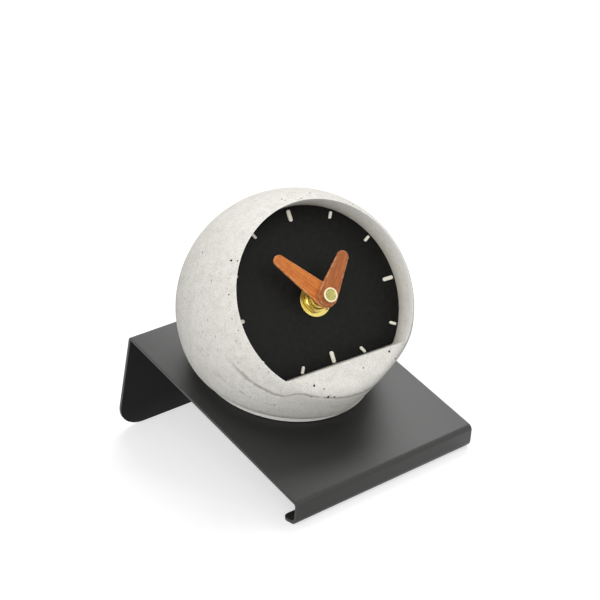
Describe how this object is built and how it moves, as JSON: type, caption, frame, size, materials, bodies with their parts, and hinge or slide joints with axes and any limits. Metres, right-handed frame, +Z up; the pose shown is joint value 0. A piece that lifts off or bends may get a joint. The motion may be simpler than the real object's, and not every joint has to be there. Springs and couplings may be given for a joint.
{
  "type": "sphere table clock",
  "caption": "Sphere-shaped concrete table clock with a recessed D-shaped dial and wooden hands, on a sloping bent-metal stand.",
  "frame": {"origin": "on the table, in line with the ball's upright axis, halfway along the stand", "axes": "+Z up, -Y towards the viewer of the dial, +X to the viewer's right"},
  "size_m": [0.0998, 0.1336, 0.1144],
  "materials": {
    "concrete": "cast, matt, fine pinholes",
    "powder_coat": "fine-textured powder coat, charcoal",
    "cover_plastic": "matt, off-white",
    "dial_black": "satin black sheet",
    "mark_cream": "smooth, cream white",
    "hand_wood": "oiled, red-brown, fine grain",
    "brass": "polished",
    "rubber": "matt black",
    "case_black": "moulded, fine texture",
    "acetal": "moulded, white",
    "ferrite": "sintered magnet, dark grey",
    "steel": "plated sheet",
    "copper": "enamelled copper wire",
    "battery_wrap": "plain coloured sleeve, no print",
    "board_green": "solder mask"
  },
  "bodies": {
    "clock_body": {"stand": "powder_coat", "concrete_body": "concrete", "base_cover": "cover_plastic", "dial": "dial_black", "rubber_washer": "rubber", "threaded_bush": "brass", "brass_washer": "brass", "hex_nut": "brass", "movement_case": "case_black", "gear_plate": "acetal", "case_lid": "case_black", "stator": "steel", "coil": "copper", "battery": "battery_wrap", "contact_plus": "steel", "contact_minus": "steel", "circuit_board": "board_green", "quartz_crystal": "steel", "driver_chip": "rubber", "hour_mark_01": "mark_cream", "hour_mark_02": "mark_cream", "hour_mark_03": "mark_cream", "hour_mark_04": "mark_cream", "hour_mark_05": "mark_cream", "hour_mark_06": "mark_cream", "hour_mark_07": "mark_cream", "hour_mark_08": "mark_cream", "hour_mark_09": "mark_cream", "hour_mark_10": "mark_cream", "hour_mark_11": "mark_cream", "hour_mark_12": "mark_cream"},
    "minute_hand_set": {"minute_arbor": "brass", "short_hand": "hand_wood", "cap_nut": "brass"},
    "hour_hand_set": {"hour_wheel": "brass", "long_hand": "hand_wood"},
    "motion_wheel": {"motion_wheel": "acetal"},
    "setting_knob": {"setting_knob": "acetal"},
    "centre_wheel": {"centre_wheel": "acetal"},
    "third_wheel": {"third_wheel": "acetal"},
    "seconds_wheel": {"seconds_wheel": "acetal"},
    "step_wheel": {"step_wheel": "acetal"},
    "rotor": {"rotor": "ferrite"}
  },
  "joints": [
    {"name": "minute_turn", "type": "hinge", "parent": "clock_body", "child": "minute_hand_set", "pos_m": [0, -0.01152, 0.06442], "axis": [-0.1044, -0.9049, 0.4126], "continuous": true},
    {"name": "hour_turn", "type": "hinge", "parent": "clock_body", "child": "hour_hand_set", "pos_m": [0, -0.01152, 0.06442], "axis": [-0.1044, -0.9049, 0.4126], "continuous": true},
    {"name": "motion_turn", "type": "hinge", "parent": "clock_body", "child": "motion_wheel", "pos_m": [0.00517, -0.00867, 0.07198], "axis": [-0.1044, -0.9049, 0.4126], "continuous": true},
    {"name": "setting_turn", "type": "hinge", "parent": "clock_body", "child": "setting_knob", "pos_m": [0.00729, -0.00499, 0.08059], "axis": [-0.1044, -0.9049, 0.4126], "continuous": true},
    {"name": "rotor_turn", "type": "hinge", "parent": "clock_body", "child": "rotor", "pos_m": [0.01701, -0.01268, 0.06617], "axis": [-0.1044, -0.9049, 0.4126], "continuous": true},
    {"name": "step_turn", "type": "hinge", "parent": "clock_body", "child": "step_wheel", "pos_m": [0.00931, -0.01294, 0.06365], "axis": [-0.1044, -0.9049, 0.4126], "continuous": true},
    {"name": "seconds_turn", "type": "hinge", "parent": "clock_body", "child": "seconds_wheel", "pos_m": [0, -0.01152, 0.06442], "axis": [-0.1044, -0.9049, 0.4126], "continuous": true},
    {"name": "third_turn", "type": "hinge", "parent": "clock_body", "child": "third_wheel", "pos_m": [-0.00801, -0.0086, 0.06879], "axis": [-0.1044, -0.9049, 0.4126], "continuous": true},
    {"name": "centre_turn", "type": "hinge", "parent": "clock_body", "child": "centre_wheel", "pos_m": [0, -0.01152, 0.06442], "axis": [-0.1044, -0.9049, 0.4126], "continuous": true}
  ],
  "couplings": [
    {"joint": "motion_turn", "follows": "minute_turn", "ratio": -0.33333},
    {"joint": "hour_turn", "follows": "minute_turn", "ratio": 0.083333},
    {"joint": "setting_turn", "follows": "minute_turn", "ratio": 1},
    {"joint": "step_turn", "follows": "rotor_turn", "ratio": -0.2},
    {"joint": "seconds_turn", "follows": "rotor_turn", "ratio": 0.033333},
    {"joint": "third_turn", "follows": "rotor_turn", "ratio": -0.0041667},
    {"joint": "centre_turn", "follows": "rotor_turn", "ratio": 0.00055556}
  ]
}
